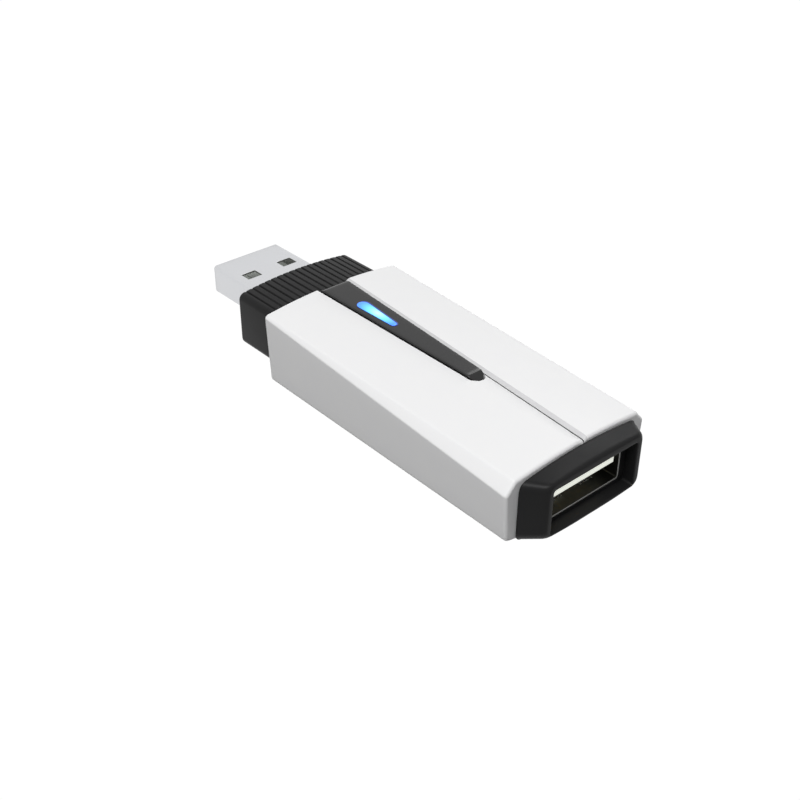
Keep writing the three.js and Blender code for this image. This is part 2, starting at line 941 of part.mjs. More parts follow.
const trayRibs = [pegFront, between(pegFront, pegRear, 0.5), pegRear]
  .map((x) =>
    box(
      x - trayRibLength / 2,
      x + trayRibLength / 2,
      -pegSpread - 1,
      pegSpread + 1,
      -bottomDepth + coverInset + trayThickness / 2,
      boardBottom - seat,
    ),
  )
  .reduce((all, rib) => all.add(rib));

const trayForm = bodyForm(coverInset, trayFront, trayEnd);
const boardTray = trayForm
  .subtract(bodyForm(coverInset + trayThickness, trayFront - 1, trayEnd + 1))
  .intersect(box(trayFront, trayEnd, -reach, reach, -reach, trayWallTop))
  .add(trayRibs.intersect(trayForm))
  .add(pegsOf(pegRadius, boardBottom - 0.5, boardTop + 0.6));

// ---------------------------------------------------------------------------------------------------
// Finishes
// ---------------------------------------------------------------------------------------------------

function finish(color, roughness, metalness) {
  return new THREE.MeshStandardMaterial({ color, roughness, metalness });
}

const whiteShell = finish(0xeeeeee, 0.4, 0);
const blackMoulding = finish(0x3a3a3a, 0.6, 0);
const plugSteel = finish(0xd2d4d6, 0.3, 1);
const whiteInsulator = finish(0xf4f5ee, 0.5, 0);
const gilt = finish(0xd9b45c, 0.25, 1);
const boardGreen = finish(0x1f5a3a, 0.5, 0);
const chipBlack = finish(0x1c1c1e, 0.55, 0);
const canSteel = finish(0xb9bcbf, 0.35, 1);
const ceramic = finish(0xe6e2d4, 0.6, 0);
const capacitorBrown = finish(0xa8865c, 0.6, 0);
const resistorBlack = finish(0x242424, 0.5, 0);
const windowBlue = finish(0x6fc8ff, 0.15, 0);
const ledWhite = finish(0xf2f6ff, 0.4, 0);

// ---------------------------------------------------------------------------------------------------
// Assembly
// ---------------------------------------------------------------------------------------------------

function place(group, name, solid, material, x = 0, y = 0, z = 0) {
  const mesh = new THREE.Mesh(geometryFrom(solid), material);
  mesh.name = name;
  mesh.position.set(x, y, z);
  group.add(mesh);
  return mesh;
}

const adapter = new THREE.Group();
const body = new THREE.Group();
body.position.set(-(bodyEnd + plugTip) / 2, 0, bottomDepth);
adapter.add(body);

place(body, "left_side_shell", leftSideShell, whiteShell);
place(body, "right_side_shell", rightSideShell, whiteShell);
place(body, "front_collar", frontCollar, blackMoulding);
place(body, "end_bezel", endBezel, blackMoulding);
place(body, "light_window", lightWindow, windowBlue);
place(body, "board_tray", boardTray, blackMoulding);
place(body, "circuit_board", circuitBoard, boardGreen);

place(body, "plug_shell", plugShell, plugSteel);
place(body, "plug_insulator", plugInsulator, whiteInsulator);
contactPitches.forEach((y, i) => {
  const isPower = Math.abs(y) > 2;
  const setback = isPower ? powerContactSetback : dataContactSetback;
  place(body, `plug_contact_${i + 1}`, plugContact(setback), gilt, 0, y, 0);
});

const socket = new THREE.Group();
socket.position.set(socketMouth, 0, -socketDrop);
body.add(socket);
place(socket, "socket_shell", socketShell, plugSteel);
place(socket, "socket_insulator", socketInsulator, whiteInsulator);
contactPitches.forEach((y, i) => {
  place(socket, `socket_contact_${i + 1}`, springArm(), gilt, hingeX, y, hingeZ);
  place(socket, `socket_pin_${i + 1}`, solderPin(), gilt, 0, y, 0);
});

// Small parts soldered on top of the board: name, finish, place and size along X, Y and Z.
const onBoard = new THREE.Group();
onBoard.position.z = boardTop + seat;
body.add(onBoard);

function chip(name, material, x, y, length, width, height) {
  place(onBoard, name, box(-length / 2, length / 2, -width / 2, width / 2, 0, height), material, x, y);
}

chip("status_led", ledWhite, guideX, guideY, ledLength, ledWidth, ledHeight);
chip("usb_hub_chip", chipBlack, socketBack - 13.4, 0.6, 5.0, 5.0, 0.9);
chip("crystal", canSteel, socketBack - 8.3, -4.6, 3.2, 2.5, 0.7);
chip("voltage_regulator", chipBlack, shellFront + 0.9, 4.6, 2.9, 1.6, 1.1);
chip("chip_antenna", ceramic, windowRear + 4.2, 7.9, 7.0, 1.8, 1.0);
chip("power_inductor", chipBlack, shellFront + 0.9, -4.4, 3.0, 3.0, 1.4);

const radioCan = box(-canLength / 2, canLength / 2, -canWidth / 2, canWidth / 2, 0, canHeight).subtract(
  box(
    -canLength / 2 + canWall,
    canLength / 2 - canWall,
    -canWidth / 2 + canWall,
    canWidth / 2 - canWall,
    -1,
    canHeight - canWall,
  ),
);
place(onBoard, "radio_shield_can", radioCan, canSteel, canX, canY);
chip("radio_chip", chipBlack, canX, canY, radioChipSize, radioChipSize, 0.85);

const capacitorPlaces = [
  [16.0, 4.6],
  [26.2, 3.4],
  [socketBack - 8.5, 3.2],
  [socketBack - 4.3, -2.0],
];
capacitorPlaces.forEach(([x, y], i) => chip(`capacitor_${i + 1}`, capacitorBrown, x, y, 2.0, 1.25, 0.9));

const resistorPlaces = [
  [18.2, -6.4],
  [socketBack - 4.5, 3.4],
];
resistorPlaces.forEach(([x, y], i) => chip(`resistor_${i + 1}`, resistorBlack, x, y, 1.6, 0.8, 0.45));

export default adapter;
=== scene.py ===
import math

import bmesh
import bpy
import numpy as np
from mathutils import Matrix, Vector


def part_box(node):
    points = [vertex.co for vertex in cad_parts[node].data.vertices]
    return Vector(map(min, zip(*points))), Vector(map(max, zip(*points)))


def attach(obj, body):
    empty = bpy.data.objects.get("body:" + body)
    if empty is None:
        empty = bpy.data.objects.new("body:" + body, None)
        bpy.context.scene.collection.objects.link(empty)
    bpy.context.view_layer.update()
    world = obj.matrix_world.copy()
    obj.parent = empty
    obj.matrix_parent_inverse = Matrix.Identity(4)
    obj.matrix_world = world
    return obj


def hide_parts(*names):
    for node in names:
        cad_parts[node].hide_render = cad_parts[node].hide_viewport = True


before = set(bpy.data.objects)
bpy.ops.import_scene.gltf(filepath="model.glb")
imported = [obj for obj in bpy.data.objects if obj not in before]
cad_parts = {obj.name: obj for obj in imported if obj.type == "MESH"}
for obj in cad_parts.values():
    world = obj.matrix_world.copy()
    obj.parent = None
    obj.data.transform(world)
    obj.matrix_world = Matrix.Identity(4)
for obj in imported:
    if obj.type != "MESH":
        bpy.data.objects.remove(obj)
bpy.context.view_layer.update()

# ---------------------------------------------------------------------------------------------------
# Side shells
# Two white ABS mouldings that meet along a shallow valley on top and along the middle below.
# Their long top edges are cut by a chamfer that grows towards the socket.
# ---------------------------------------------------------------------------------------------------

# Points are millimetres from the plug's axis at the collar's front face, with +X towards the socket.
plug_height = 4.5
collar_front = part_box("front_collar")[0].x
plug_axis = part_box("plug_shell")[1].z - plug_height / 2000
shell_front = (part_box("right_side_shell")[0].x - collar_front) * 1000
shell_rear = (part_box("right_side_shell")[1].x - collar_front) * 1000
bottom_depth = (plug_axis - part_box("right_side_shell")[0].z) * 1000
shell_half_front = 11.9
side_swell = 0.06
shell_half_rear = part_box("right_side_shell")[1].y * 1000 + side_swell
shell_top_front = 5.7
shell_top_rear = 3.4
shell_crown = 0.85
side_draft = 0.45
bottom_rise = 1.15
foot_half = 3.6
shell_wall = 1.2
front_wall = 1.2
chamfer_width = 1.5
chamfer_height = 1.45
edge_chamfer = 0.34
rim_radius = 0.45
front_radius = 0.3
shell_radius = 0.18
heel_radius = 0.7
seam_gap = 0.18
seam_front = 2.45
seam_rear = 0.87
valley_front = -2.55
valley_rear = -0.35
valley_right = 0.62
valley_depth = 0.34
bevel_columns = 30
top_columns = 26
corner_steps = 8
heel_steps = 24
rim_steps = 9
lip_half = 0.45
lip_thickness = 0.4
lip_gap = 0.05
lip_end_gap = 0.1
lip_stations = 40
channel_depth = 0.95
channel_gap = 0.16
channel_wall = 0.03
channel_clear = 0.25
top_face_above = 1.5
tongue_root = 7.6
tongue_ramp_end = 10.6
tongue_crest = 38.45
tongue_tip = 39.7
tongue_play = 0.25
tip_margin_front = 0.6
tip_margin_rear = 0.5
front_stations = 44
tip_stations = 40
rear_stations = 20
opening_chamfer = 0.8
opening_radius = 0.5
opening_heel_radius = 0.6
bezel_opening = {"half": 9.3, "top": 2.1, "crown": 0.9, "bottom": -5.7, "rise": 0.86, "foot": foot_half}
collar_opening = {"half": 10.18, "top": 4.7, "crown": 0.75, "bottom": -4.39, "rise": 0.01, "foot": 8.2}
weld_distance = 2e-6
sliver_length = 1e-7
sharp_angle = 32.0
bump_strength = 0.35
coarse_ratio = 12


def grid_faces(rows, columns, start, row_loop, column_loop):
    """Quads of a grid of points, row by row: corner (i, j), its neighbour along the row, and the two
    below them. A loop joins the last row or column back to the first."""
    i = np.arange(rows if row_loop else rows - 1)[:, None]
    j = np.arange(columns if column_loop else columns - 1)[None, :]
    below, beside = (i + 1) % rows, (j + 1) % columns
    corners = [i * columns + j, i * columns + beside, below * columns + beside, below * columns + j]
    spread = [np.broadcast_to(corner, (i.size, j.size)) for corner in corners]
    return start + np.stack(spread, -1).reshape(-1, 4)


def moulded_piece(name, materials, grids, caps, stands_for):
    """One mesh from grids of body-frame points. Each grid is (points, row_loop, column_loop, number of its
    material), and each cap (ring, number) closes a ring of points. Doubles are merged, faces are turned
    outwards, and edges that bend more than the sharp angle stay crisp. The points are shifted to the
    row frame and put in metres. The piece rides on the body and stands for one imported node."""
    points, faces, numbers = [], [], []
    for grid, row_loop, column_loop, number in grids:
        start = sum(len(p) for p in points)
        cells = grid_faces(*grid.shape[:2], start, row_loop, column_loop).tolist()
        faces += cells
        numbers += [number] * len(cells)
        points.append(grid.reshape(-1, 3))
    for ring, number in caps:
        start = sum(len(p) for p in points)
        faces.append(list(range(start, start + len(ring))))
        numbers.append(number)
        points.append(ring)
    placed = np.concatenate(points) / 1000 + np.array([collar_front, 0, plug_axis])
    mesh = bpy.data.meshes.new(name)
    mesh.from_pydata(placed.tolist(), [], faces)
    mesh.polygons.foreach_set("material_index", numbers)
    shape = bmesh.new()
    shape.from_mesh(mesh)
    bmesh.ops.remove_doubles(shape, verts=shape.verts, dist=weld_distance)
    bmesh.ops.dissolve_degenerate(shape, edges=shape.edges, dist=sliver_length)
    bmesh.ops.recalc_face_normals(shape, faces=shape.faces)
    shape.to_mesh(mesh)
    shape.free()
    mesh.shade_smooth()
    mesh.set_sharp_from_angle(angle=math.radians(sharp_angle))
    for material in materials:
        mesh.materials.append(material)
    made = bpy.data.objects.new(name, mesh)
    bpy.context.scene.collection.objects.link(made)
    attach(made, "adapter")
    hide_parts(stands_for)


def colour(hex_value):
    """The linear colour of an sRGB hex value: each channel is put through the sRGB curve."""
    srgb = np.array([int(hex_value[i : i + 2], 16) / 255 for i in (1, 3, 5)])
    linear = np.where(srgb <= 0.04045, srgb / 12.92, ((srgb + 0.055) / 1.055) ** 2.4)
    return (*linear.tolist(), 1.0)


def finish(name, base, **settings):
    """A new material whose principled shader has this base colour and these socket values."""
    material = bpy.data.materials.new(name)
    material.use_nodes = True
    shader = material.node_tree.nodes["Principled BSDF"]
    shader.inputs["Base Color"].default_value = colour(base)
    for socket, value in settings.items():
        shader.inputs[socket.replace("_", " ")].default_value = value
    return material


def node(material, kind, settings=(), **links):
    """Adds one node. Settings are attribute or input values by name, and links give the socket of
    another node that feeds each input, whose spaces are written as underscores."""
    tree = material.node_tree
    added = tree.nodes.new(kind)
    for key, value in dict(settings).items():
        if hasattr(added, key):
            setattr(added, key, value)
        else:
            added.inputs[key].default_value = value
    for key, source in links.items():
        name = int(key[3:]) if key.startswith("in_") else key.replace("_", " ")
        tree.links.new(source, added.inputs[name])
    return added


def feed(material, socket, source):
    """Links a node's output to a socket of the principled shader."""
    shader = material.node_tree.nodes["Principled BSDF"]
    material.node_tree.links.new(source, shader.inputs[socket])


def grain(material, size, depth, roughness, spread, tint):
    """Gives a moulded or drawn surface its fine grain. Noise of this size in millimetres drives a bump of
    this depth in millimetres, and a coarser noise moves the roughness by the spread and mixes the tint
    into the base colour."""
    place = node(material, "ShaderNodeTexCoord").outputs["Object"]
    fine = node(material, "ShaderNodeTexNoise", {"Scale": 1000 / size, "Detail": 3.0}, Vector=place)
    relief = {"Strength": bump_strength, "Distance": depth / 1000}
    bump = node(material, "ShaderNodeBump", relief, Height=fine.outputs["Fac"])
    feed(material, "Normal", bump.outputs["Normal"])
    patches = {"Scale": 1000 / (coarse_ratio * size), "Detail": 2.0}
    broad = node(material, "ShaderNodeTexNoise", patches, Vector=place)
    level = node(
        material,
        "ShaderNodeMapRange",
        {"To Min": roughness - spread, "To Max": roughness + spread},
        Value=broad.outputs["Fac"],
    )
    feed(material, "Roughness", level.outputs["Result"])
    shader = material.node_tree.nodes["Principled BSDF"]
    mix = node(material, "ShaderNodeMix", {"data_type": "RGBA"}, Factor=broad.outputs["Fac"])
    mix.inputs[6].default_value = shader.inputs["Base Color"].default_value
    mix.inputs[7].default_value = colour(tint)
    feed(material, "Base Color", mix.outputs[2])
    return material


# Satin white ABS from a finely sparked mould: matt and almost neutral.
white_abs = finish(
    "white_abs_fine_sparked",
    "#efefef",
    Roughness=0.42,
    IOR=1.53,
    Specular_IOR_Level=0.25,
)
grain(white_abs, size=0.22, depth=0.004, roughness=0.44, spread=0.05, tint="#ededee")
# The right shell's bevel beside the seam, with painted shade: drawn a shade greyer than the top,
# because the lamps alone don't shade it enough.
bevel_painted_shade = finish("white_abs_bevel_painted_shade", "#c9c9ca", IOR=1.53, Specular_IOR_Level=0.25)
grain(bevel_painted_shade, size=0.22, depth=0.004, roughness=0.46, spread=0.05, tint="#cfcfd0")
# The joint faces inside the seam, where shade falls, with painted shade: drawn grey so that the seam reads as
# a line.
joint_painted_shade = finish("joint_face_painted_shade", "#626263", IOR=1.53)
grain(joint_painted_shade, size=0.22, depth=0.004, roughness=0.6, spread=0.05, tint="#6a6a6b")


def along(x):
    """How far x is along the shells, from 0 at their front to 1 at their rear."""
    return (x - shell_front) / (shell_rear - shell_front)


def between(start, end, share):
    """The value this share of the way from start to end."""
    return start + (end - start) * share


def bend(start, corner, end, steps):
    """A corner rounded as a quadratic curve: (1-t)^2 start + 2t(1-t) corner + t^2 end, for t from 0 to 1."""
    t = np.linspace(0, 1, steps)[None, :, None]
    return (1 - t) ** 2 * start[:, None] + 2 * t * (1 - t) * corner[:, None] + t**2 * end[:, None]


def towards(start, end, distance):
    """The point this distance from start on the way to end, never past 45% of the way."""
    gap = end - start
    length = np.linalg.norm(gap, axis=1, keepdims=True) + 1e-9
    return start + gap * np.minimum(distance / length, 0.45)


def half_section(form, start, slope_end, dip, inset):
    """Half of a section across the body, from the middle of the top round the side to the middle of the
    bottom, as (y, z) for each station. The top is the parabola top - crown (y/half)^2, lowered by the dip
    at start and less and less on the way to slope_end. Two rounded corners take it over the chamfer to
    the side, and a quadratic curve takes the side to the flat foot. The inset draws every face in by
    the same amount."""
    half, top, bottom = form["half"] - inset, form["top"] - inset, form["bottom"] + inset
    wide, high = form["chamfer_width"], form["chamfer_height"]
    length = np.hypot(wide, high)
    shoulder = top - form["crown"]
    corner_y = half - wide + inset * (1 - (1 - wide / length) * length / high)
    crest = np.stack([corner_y, top - form["crown"] * (corner_y / half) ** 2], 1)
    edge = np.stack([half, shoulder - high + inset * (1 - (1 - high / length) * length / wide)], 1)
    heel = np.stack([half - form["draft"], bottom + form["rise"]], 1)
    foot = np.stack([form["foot"] + 0 * half, bottom], 1)
    sole = np.stack([(form["foot"] + half) / 2, bottom], 1)

    share = np.linspace(0, 1, bevel_columns)[None, :-1]
    slope_y = between(start[:, None], slope_end[:, None], share)
    slope_z = -dip[:, None] * (1 - share)
    near = np.array([0, channel_gap, channel_gap + channel_wall])[None, :] + slope_end[:, None]
    top_start = towards(crest, np.stack([slope_end, crest[:, 1]], 1), form["radius"])[:, 0]
    spacing = np.linspace(0, 1, top_columns)[None, :]
    rest = between(near[:, -1:] + channel_clear, top_start[:, None], spacing)
    top_y = np.concatenate([slope_y, near, rest], 1)
    top_z = top[:, None] - form["crown"][:, None] * (top_y / half[:, None]) ** 2
    top_z[:, : slope_z.shape[1]] += slope_z
    top_line = np.stack([top_y, top_z], 2)

    round_start = top_line[:, -1]
    parts = [top_line[:, :-1]]
    crest_end = towards(crest, edge, form["radius"])
    edge_start = towards(edge, crest, form["radius"])
    edge_end = towards(edge, heel, form["radius"])
    parts.append(bend(round_start, crest, crest_end, corner_steps))
    parts.append(bend(edge_start, edge, edge_end, corner_steps))
    curve = bend(heel, sole, foot, heel_steps)[:, 2:]
    side_end = towards(heel, edge, form["heel_radius"])
    parts.append(between(parts[-1][:, -1:], side_end[:, None], np.array([0.33, 0.66])[None, :, None]))
    parts.append(bend(side_end, heel, curve[:, 0], corner_steps)[:, :-1])
    parts.append(curve)
    middle = np.stack([form["middle"], bottom], 1)
    parts.append(between(foot[:, None], middle[:, None], np.array([0.5, 1.0])[None, :, None]))
    return np.concatenate(parts, 1)


def shell_form(x):
    """The measures of the shells' section at each x: straight lines from the front to the rear."""
    t = along(x)
    return {
        "half": between(shell_half_front, shell_half_rear, t),
        "top": between(shell_top_front, shell_top_rear, t),
        "crown": shell_crown + 0 * t,
        "chamfer_width": edge_chamfer + (chamfer_width - edge_chamfer) * t,
        "chamfer_height": edge_chamfer + (chamfer_height - edge_chamfer) * t,
        "draft": side_draft,
        "bottom": -bottom_depth + 0 * t,
        "rise": bottom_rise,
        "foot": foot_half,
        "radius": shell_radius,
        "heel_radius": heel_radius,
        "middle": seam_gap / 2 + 0 * t,
    }


def opening_form(x, half, top, crown, bottom, rise, foot):
    """The measures of an opening in a shell's end wall, which keeps its size along x."""
    same = 0 * x
    return {
        "half": half + same,
        "top": top + same,
        "crown": crown + same,
        "chamfer_width": opening_chamfer + same,
        "chamfer_height": opening_chamfer + same,
        "draft": 0.0,
        "bottom": bottom + same,
        "rise": rise,
        "foot": foot,
        "radius": opening_radius,
        "heel_radius": opening_heel_radius,
        "middle": seam_gap / 2 + same,
    }


def tongue_middle(x):
    """Halfway between the tongue's two long edges, and half its width there."""
    left = between(valley_front, valley_rear, along(x))
    right = between(seam_front, seam_rear, along(x)) - tongue_play
    return (left + right) / 2, (right - left) / 2


def channel(x, y):
    """How far the left shell's top is lowered at (x, y) to let the tongue in: the channel's depth inside
    the tongue's outline and its gap, nothing outside, with a narrow sloping wall between."""
    middle, reach = tongue_middle(np.minimum(x, tongue_crest))
    straight = middle - y - reach
    round_end = np.hypot(x - tongue_crest, y - middle) - reach
    distance = np.where(x <= tongue_crest, straight, round_end)
    return channel_depth * np.clip((channel_gap + channel_wall - distance) / channel_wall, 0, 1)


def seam_lip():
    """The lip on the left shell's edge, which passes under the right shell and closes the seam: a
    rectangle below the shells' wall, carried along the seam."""
    lip_start = shell_front + front_wall + lip_end_gap
    lip_end = shell_rear - shell_wall - lip_end_gap
    x = np.linspace(lip_start, lip_end, lip_stations)
    form = shell_form(x)
    seam = between(seam_front, seam_rear, along(x))
    under = form["top"] - form["crown"] * ((seam + lip_half) / form["half"]) ** 2 - shell_wall - lip_gap
    corners = [(-lip_half, 0.0), (lip_half, 0.0), (lip_half, -lip_thickness), (-lip_half, -lip_thickness)]
    edges = [np.stack([x, seam + across, under + down], 1) for across, down in corners]
    return np.stack(edges, 1)


def side_shell(side):
    """One shell as a closed band of rings: its outside from the front rim to the rear rim, the rear wall
    in to the bezel's opening, the inside back to the front, and the front wall in to the collar's
    opening. Each ring is a half section, mirrored for the left shell."""
    fine_from = tongue_crest - tip_margin_front
    fine_to = tongue_tip + tip_margin_rear
    outer_x = np.concatenate(
        [
            np.linspace(shell_front + front_radius, fine_from, front_stations, endpoint=False),
            np.linspace(fine_from, fine_to, tip_stations, endpoint=False),
            np.linspace(fine_to, shell_rear - rim_radius, rear_stations),
        ]
    )
    turn = np.linspace(0, math.pi / 2, rim_steps)
    front_x = shell_front + front_radius * (1 - np.cos(turn))
    front_in = front_radius * (1 - np.sin(turn))
    rear_x = shell_rear - rim_radius * (1 - np.sin(turn))
    rear_in = rim_radius * (1 - np.cos(turn))
    x = np.concatenate([front_x[:-1], outer_x, rear_x[1:]])
    inset = np.concatenate([front_in[:-1], 0 * outer_x, rear_in[1:]])
    inner_x = np.array([shell_rear - shell_wall, shell_front + front_wall])
    neck_x = np.array([shell_rear, shell_rear - shell_wall])
    collar_x = np.array([shell_front + front_wall, shell_front])

    def ring(stations, form, inset, dips):
        """The half section at each station as (x, y, z), with the seam's dip only on the outside."""
        seam = between(seam_front, seam_rear, along(stations))
        if side > 0:
            start = seam + seam_gap / 2
            slope_end = seam + valley_right
        else:
            start = -(seam - seam_gap / 2)
            slope_end = -between(valley_front, valley_rear, along(stations))
        dip = (valley_depth if dips else 0.0) + 0 * stations
        flat = half_section(form, start, slope_end, dip, inset)
        points = np.empty((*flat.shape[:2], 3))
        points[..., 0] = stations[:, None]
        points[..., 1:] = flat
        points[..., 1] *= side
        if dips and side < 0:
            on_top = points[..., 2] > top_face_above
            points[..., 2] -= channel(points[..., 0], points[..., 1]) * on_top
        return points

    outside = ring(x, shell_form(x), inset, True)
    neck = ring(neck_x, opening_form(neck_x, **bezel_opening), 0.0, False)
    inside = ring(inner_x, shell_form(inner_x), shell_wall, False)
    collar = ring(collar_x, opening_form(collar_x, **collar_opening), 0.0, False)
    band = np.concatenate([outside, neck, inside, collar])
    which = "right" if side > 0 else "left"
    # The joint faces along the seam, and the lip under it, take the painted shade.
    joints = [(band[:, 0], 1), (band[:, -1], 1)]
    # The right shell's bevel columns take the painted shade; the left shell's stay white.
    bevel_shade_number = 2 if side > 0 else 0
    grids = [
        (band[:, :bevel_columns], True, False, bevel_shade_number),
        (band[:, bevel_columns - 1 :], True, False, 0),
    ]
    if side < 0:
        lip = seam_lip()
        grids.append((lip, False, True, 1))
        joints += [(lip[0], 1), (lip[-1], 1)]
    moulded_piece(
        f"{which}_side_moulding",
        [white_abs, joint_painted_shade, bevel_painted_shade],
        grids,
        joints,
        f"{which}_side_shell",
    )


side_shell(-1)
side_shell(1)

# ---------------------------------------------------------------------------------------------------
# Front collar and tongue
# One black ABS moulding: a sleeve round the plug with fine grip grooves on top, and a tongue that rises
# from it and lies in a channel between the shells.
# ---------------------------------------------------------------------------------------------------

plug_width = 12.0
collar_half = 10.08
collar_top = 4.6
collar_crown = 0.75
collar_bottom = 4.29
collar_end = 10.55
collar_round = 0.45
collar_corner = 1.0
roof_columns = 221
groove_pitch = 1.1
groove_count = 17
groove_width = 0.4
groove_depth = 0.22
groove_end_gap = 0.3
groove_fade = 0.25
notch_flatness = 1.8
plug_gap = 0.1
plug_hole_corner = 0.45
tongue_proud = 0.3
tongue_drop = 0.7
tongue_sink = 0.35
tongue_edge = 0.08
tongue_wall = 1.1
tongue_straight_from = 11.0
crest_softness = 0.05

# Black ABS with a light sparked grain: deep grey, satin, with a soft highlight on its edges.
black_abs = finish(
    "black_abs_sparked",
    "#1f1f1f",
    Roughness=0.38,
    IOR=1.53,
    Specular_IOR_Level=0.08,
)
grain(black_abs, size=0.2, depth=0.004, roughness=0.38, spread=0.04, tint="#1b1b1c")
# The tongue is polished in the mould, so it throws back more of the sky than the sparked collar.
polished_abs = finish("black_abs_polished", "#1d1d1d", Roughness=0.25, IOR=1.53, Specular_IOR_Level=0.3)
grain(polished_abs, size=0.2, depth=0.002, roughness=0.25, spread=0.03, tint="#1a1a1b")


def collar_ring(x, inset, half, top, crown, bottom, corner, grooved):
    """A closed ring round the collar at x: the top parabola with its grooves, rounded corners, sides and
    flat bottom, mirrored from the right half. A groove is a rounded notch, deepest on its own line."""
    side = half - inset
    floor = -bottom + inset
    span = side - corner
    y = np.linspace(0, span, roof_columns)
    z = top - inset - crown * (y / side) ** 2
    if grooved > 0:
        offset = np.abs((y + groove_pitch / 2) % groove_pitch - groove_pitch / 2)
        notch = 0.5 + 0.5 * np.cos(np.clip(offset / (groove_width / 2), 0, 1) * math.pi)
        in_reach = y < (groove_count // 2 + 0.5) * groove_pitch
        z = z - grooved * groove_depth * np.minimum(1, notch_flatness * notch) * in_reach
    arc = np.linspace(0, math.pi / 2, 9)[1:]
    top_arc = np.stack([span + corner * np.sin(arc), z[-1] - corner * (1 - np.cos(arc))], 1)
    low_arc = np.stack([side - corner * (1 - np.cos(arc)), floor + corner * (1 - np.sin(arc))], 1)
    low = np.stack([np.linspace(span, 0, 12)[1:], np.full(11, floor)], 1)
    start = np.array([[side, floor + corner]])
    right = np.concatenate([np.stack([y, z], 1), top_arc, start, low_arc, low])
    ring = np.concatenate([right, right[-2:0:-1] * np.array([-1, 1])])
    return np.concatenate([np.full((len(ring), 1), x), ring], 1)


def collar_sleeve():
    """The sleeve as a closed band of rings: the rounded front edge, the grooved outside, and back
    through the opening that the plug stands in."""
    turn = np.linspace(0, math.pi / 2, 7)
    outline = (collar_half, collar_top, collar_crown, collar_bottom, collar_corner)
    front = []
    for a in turn:
        x = collar_round * (1 - math.cos(a))
        inset = collar_round * (1 - math.sin(a))
        front.append(collar_ring(x, inset, *outline, math.sin(a) ** 2))
    groove_end = shell_front - groove_end_gap
    depths = [(groove_end - groove_fade, 1.0), (groove_end, 0.0), (collar_end, 0.0)]
    body = [collar_ring(x, 0.0, *outline, depth) for x, depth in depths]
    hole_half = plug_width / 2 + plug_gap
    hole_tall = plug_height / 2 + plug_gap
    hole = (hole_half, hole_tall, 0.0, hole_tall, plug_hole_corner)
    opening = [collar_ring(x, 0.0, *hole, 0) for x in (collar_end, 0.0)]
    return np.stack(front + body + opening)


def tongue_height(x):
    """The tongue's top: up from the collar on a smooth S, along the shells' slope, then over the crest
    and straight down to the tip."""
    line = between(shell_top_front, shell_top_rear, along(x)) + tongue_proud
    ramp = np.clip((x - tongue_root) / (tongue_ramp_end - tongue_root), 0, 1)
    rise = ramp**2 * (3 - 2 * ramp)
    root = collar_top - tongue_sink
    fall = np.maximum(x - tongue_crest, 0)
    soft = np.sqrt(fall**2 + crest_softness**2) - crest_softness
    return between(root, line, rise) - soft * tongue_drop / (tongue_tip - tongue_crest)


def tongue_outline(inset):
    """The tongue seen from above: its left edge from the root, half round at the tip, and back along its
    right edge, drawn in by an inset."""
    ramp_x = np.linspace(tongue_root, tongue_ramp_end, 20)
    x = np.concatenate([ramp_x, np.linspace(tongue_straight_from, tongue_crest, 40)])
    middle, reach = tongue_middle(x)
    left = np.stack([x, middle - reach + inset], 1)
    right = np.stack([x, middle + reach - inset], 1)[::-1]
    turn = np.linspace(-math.pi / 2, math.pi / 2, 33)[1:-1]
    centre, radius = middle[-1], reach[-1] - inset
    tip = np.stack([tongue_crest + radius * np.cos(turn), centre + radius * np.sin(turn)], 1)
    return np.concatenate([left, tip, right])


def tongue_layers():
    """The tongue as rings: up its wall, over a rounded edge, then in to its middle line."""
    rings = []
    floor = tongue_outline(0.0)
    wall_z = tongue_height(floor[:, 0])
    rings.append(np.concatenate([floor, (wall_z - tongue_wall)[:, None]], 1))
    for a in np.linspace(0, math.pi / 2, 6):
        ring = tongue_outline(tongue_edge * (1 - math.cos(a)))
        height = tongue_height(ring[:, 0]) - tongue_edge * (1 - math.sin(a))
        rings.append(np.concatenate([ring, height[:, None]], 1))
    edge = tongue_outline(tongue_edge)
    middle, _ = tongue_middle(np.minimum(edge[:, 0], tongue_crest))
    for share in (0.35, 0.7, 1.0):
        ring = np.stack([edge[:, 0], between(edge[:, 1], middle, share)], 1)
        rings.append(np.concatenate([ring, tongue_height(ring[:, 0])[:, None]], 1))
    return np.stack(rings)


tongue = tongue_layers()
moulded_piece(
    "collar_moulding",
    [black_abs, polished_abs],
    [(collar_sleeve(), True, True, 0), (tongue, False, True, 1)],
    [(tongue[0], 1)],
    "front_collar",
)

# ---------------------------------------------------------------------------------------------------
# Light window
# A drop of clear blue acrylic set flush in the tongue, lit from below through its own light guide.
# ---------------------------------------------------------------------------------------------------

window_front = 15.9
window_rear = 23.8
window_front_radius = 1.03
window_rear_radius = 0.62
window_edge = 0.07
window_shift = -0.34
window_rim = 0.15
window_lean = 0.1
window_depth = 0.6
window_proud = 0.02
window_swell = 0.05
window_edge_rise = 0.5 * window_edge


def window_outline(inset):
    """The drop seen from above: a large arc at its front and a small one at its rear, joined by straight
    tangents, drawn in by an inset."""
    big, small = window_front_radius - inset, window_rear_radius - inset
    x0, x1 = window_front + window_front_radius, window_rear - window_rear_radius
    y0, y1 = tongue_middle(np.array([x0, x1]))[0] + window_shift
    tilt = math.asin((window_front_radius - window_rear_radius) / (x1 - x0))
    swing = math.atan2(y1 - y0, x1 - x0)
    front = np.linspace(math.pi / 2 - tilt, 1.5 * math.pi + tilt, 25) + swing
    rear = np.linspace(-math.pi / 2 + tilt, math.pi / 2 - tilt, 17) + swing
    lower = np.linspace(0, 1, 14)[1:-1, None]
    a = np.stack([x0 + big * np.cos(front), y0 + big * np.sin(front)], 1)
    b = np.stack([x1 + small * np.cos(rear), y1 + small * np.sin(rear)], 1)
    return np.concatenate([a, between(a[-1], b[0], lower), b, between(b[-1], a[0], lower)])


